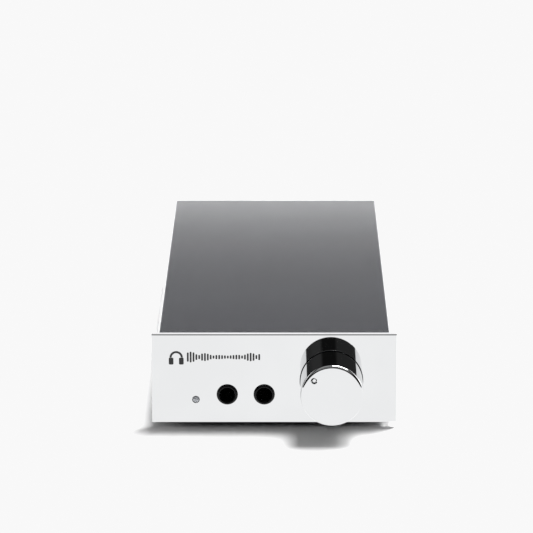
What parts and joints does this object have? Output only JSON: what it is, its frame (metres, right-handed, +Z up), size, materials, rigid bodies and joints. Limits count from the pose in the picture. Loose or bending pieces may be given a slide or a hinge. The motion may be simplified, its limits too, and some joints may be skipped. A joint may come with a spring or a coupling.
{
  "type": "headphone amplifier",
  "caption": "Slim desktop headphone amplifier: folded dark metal case, bright front panel, large volume knob, headphone jacks and a power lamp.",
  "frame": {"origin": "middle of the whole object's box, on the surface that the feet stand on", "axes": "+Y runs from the front panel to the back, +Z is up, +X is to the right as seen from the front"},
  "size_m": [0.11, 0.28, 0.044],
  "materials": {
    "chrome": "mirror polished plate",
    "shell": "satin anthracite coating with a fine tooth",
    "rubber": "moulded matt",
    "steel": "zinc plated, turned",
    "black_steel": "black oxide",
    "black_plastic": "moulded, semi-gloss",
    "transformer_potting": "cast potting compound",
    "lamp_resin": "clear grey resin, unlit",
    "board_laminate": "lacquered laminate",
    "potentiometer_case": "moulded",
    "capacitor_sleeve": "shrink sleeve",
    "heatsink": "black anodised extrusion",
    "gold_plate": "gold flash over turned brass",
    "nickel_plate": "nickel plated",
    "switch_red": "moulded",
    "switch_white": "moulded"
  },
  "bodies": {
    "case": {"board_pillar_1": "steel", "board_pillar_2": "steel", "board_pillar_3": "steel", "board_pillar_4": "steel", "board_screw_1": "steel", "board_screw_2": "steel", "board_screw_3": "steel", "board_screw_4": "steel", "chassis_tray": "shell", "cover_screw_1": "black_steel", "cover_screw_2": "black_steel", "cover_screw_3": "black_steel", "cover_screw_4": "black_steel", "front_panel": "chrome", "front_panel_screw_1": "steel", "front_panel_screw_2": "steel", "front_panel_screw_3": "steel", "front_panel_screw_4": "steel", "gain_switch_block": "switch_red", "heatsink_left": "heatsink", "heatsink_right": "heatsink", "inlet_pin_earth": "nickel_plate", "inlet_pin_live": "nickel_plate", "inlet_pin_neutral": "nickel_plate", "jack_bushing_left": "black_plastic", "jack_bushing_right": "black_plastic", "jack_housing_left": "black_plastic", "jack_housing_right": "black_plastic", "main_board": "board_laminate", "mains_inlet": "black_plastic", "mains_transformer": "transformer_potting", "phono_input_left": "gold_plate", "phono_input_right": "gold_plate", "phono_output_left": "gold_plate", "phono_output_right": "gold_plate", "potentiometer_body": "potentiometer_case", "potentiometer_bushing": "steel", "potentiometer_nut": "steel", "power_lamp": "lamp_resin", "power_switch_frame": "black_plastic", "rear_panel": "shell", "rear_panel_screw_1": "black_steel", "rear_panel_screw_2": "black_steel", "rear_panel_screw_3": "black_steel", "rear_panel_screw_4": "black_steel", "reservoir_capacitor_1": "capacitor_sleeve", "reservoir_capacitor_2": "capacitor_sleeve", "rubber_foot_1": "rubber", "rubber_foot_2": "rubber", "rubber_foot_3": "rubber", "rubber_foot_4": "rubber", "top_cover": "shell"},
    "volume_knob": {"volume_knob": "chrome", "knob_grub_screw": "steel", "potentiometer_shaft": "steel"},
    "power_rocker": {"power_rocker": "black_plastic"},
    "gain_slider_1": {"gain_slider_1": "switch_white"},
    "gain_slider_2": {"gain_slider_2": "switch_white"},
    "gain_slider_3": {"gain_slider_3": "switch_white"},
    "gain_slider_4": {"gain_slider_4": "switch_white"}
  },
  "joints": [
    {"name": "volume_turn", "type": "hinge", "parent": "case", "child": "volume_knob", "pos_m": [0.0257, -0.1172, 0.0223], "axis": [0, 1, 0], "range_deg": [-101, 199]},
    {"name": "power_rock", "type": "hinge", "parent": "case", "child": "power_rocker", "pos_m": [-0.005, 0.1288, 0.02335], "axis": [1, 0, 0], "range_deg": [0, 24]},
    {"name": "gain_slide_1", "type": "slide", "parent": "case", "child": "gain_slider_1", "axis": [0, 1, 0], "range_m": [0, 0.0016]},
    {"name": "gain_slide_2", "type": "slide", "parent": "case", "child": "gain_slider_2", "axis": [0, 1, 0], "range_m": [0, 0.0016]},
    {"name": "gain_slide_3", "type": "slide", "parent": "case", "child": "gain_slider_3", "axis": [0, 1, 0], "range_m": [0, 0.0016]},
    {"name": "gain_slide_4", "type": "slide", "parent": "case", "child": "gain_slider_4", "axis": [0, 1, 0], "range_m": [0, 0.0016]}
  ]
}
